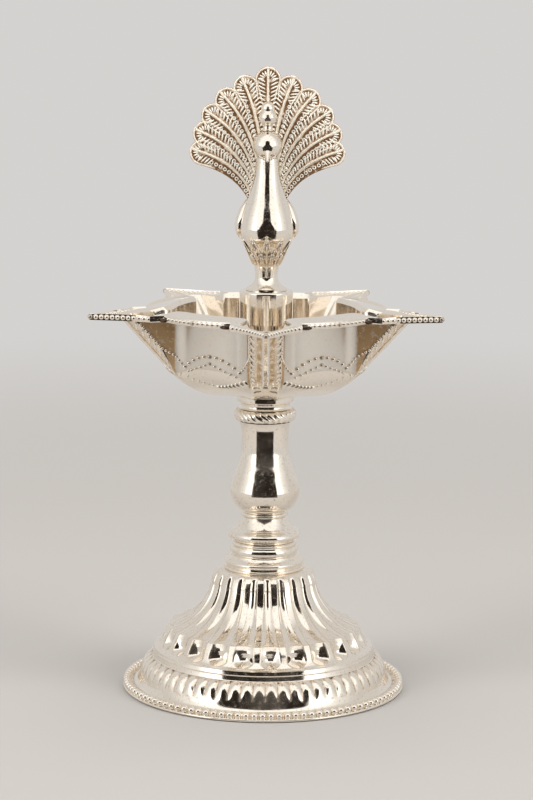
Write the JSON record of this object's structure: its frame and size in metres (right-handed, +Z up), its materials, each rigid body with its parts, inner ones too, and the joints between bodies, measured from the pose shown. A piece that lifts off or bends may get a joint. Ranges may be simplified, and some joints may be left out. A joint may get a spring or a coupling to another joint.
{
  "type": "standing oil lamp",
  "caption": "Standing oil lamp in silver-plated brass: fluted bell foot, turned stem, star-shaped bowl with wick spouts, and a peacock finial with a fanned tail.",
  "frame": {"origin": "on the floor, under the lamp's axis, in the plane of the rim's flat underside", "axes": "+Z up along the stem, -Y towards the front, where the bird and one spout point"},
  "size_m": [0.1084, 0.1031, 0.1924],
  "materials": {
    "foot_silver": "polished silver plate with darker patina in the flutes",
    "stem_silver": "polished silver plate, turned",
    "bowl_silver": "polished silver plate, pressed sheet with satin wall faces",
    "bird_silver": "polished silver plate over a casting",
    "tail_silver": "silver plate over a casting, brown patina in the feather relief",
    "bare_brass": "bare turned brass",
    "seal_fibre": "red-brown sealing fibre"
  },
  "bodies": {
    "foot": {"foot_rim": "foot_silver", "foot_bell": "foot_silver", "foot_collar": "stem_silver", "foot_washer": "bare_brass", "foot_nut": "bare_brass"},
    "stem_seal": {"stem_seal": "seal_fibre"},
    "stem": {"stem_knop": "stem_silver", "stem_baluster": "stem_silver", "rope_ring": "stem_silver", "bowl_seat": "stem_silver", "stem_rod": "bare_brass"},
    "bowl_seal": {"bowl_seal": "seal_fibre"},
    "bowl": {"bowl": "bowl_silver", "pedestal": "stem_silver"},
    "finial_seal": {"finial_seal": "seal_fibre"},
    "finial": {"finial_stud": "bare_brass", "peacock_body": "bird_silver", "peacock_crest": "bird_silver", "peacock_wing_left": "bird_silver", "peacock_wing_right": "bird_silver", "tail_fan": "tail_silver", "tail_rivets": "bare_brass"}
  },
  "joints": [
    {"name": "stem_lift", "type": "slide", "parent": "foot", "child": "stem_seal", "axis": [0, 0, 1], "range_m": [0, 0.00625]},
    {"name": "stem_turn", "type": "hinge", "parent": "stem_seal", "child": "stem", "pos_m": [0, 0, 0], "axis": [0, 0, 1], "range_deg": [0, 1801]},
    {"name": "bowl_lift", "type": "slide", "parent": "stem", "child": "bowl_seal", "axis": [0, 0, 1], "range_m": [0, 0.00625]},
    {"name": "bowl_turn", "type": "hinge", "parent": "bowl_seal", "child": "bowl", "pos_m": [0, 0, 0], "axis": [0, 0, 1], "range_deg": [0, 1801]},
    {"name": "finial_lift", "type": "slide", "parent": "bowl", "child": "finial_seal", "axis": [0, 0, 1], "range_m": [0, 0.004]},
    {"name": "finial_turn", "type": "hinge", "parent": "finial_seal", "child": "finial", "pos_m": [0, 0, 0], "axis": [0, 0, 1], "range_deg": [0, 1801]}
  ],
  "couplings": [
    {"joint": "stem_turn", "follows": "stem_lift", "rad_per_m": 5026.5},
    {"joint": "bowl_turn", "follows": "bowl_lift", "rad_per_m": 5026.5},
    {"joint": "finial_turn", "follows": "finial_lift", "rad_per_m": 7854}
  ]
}
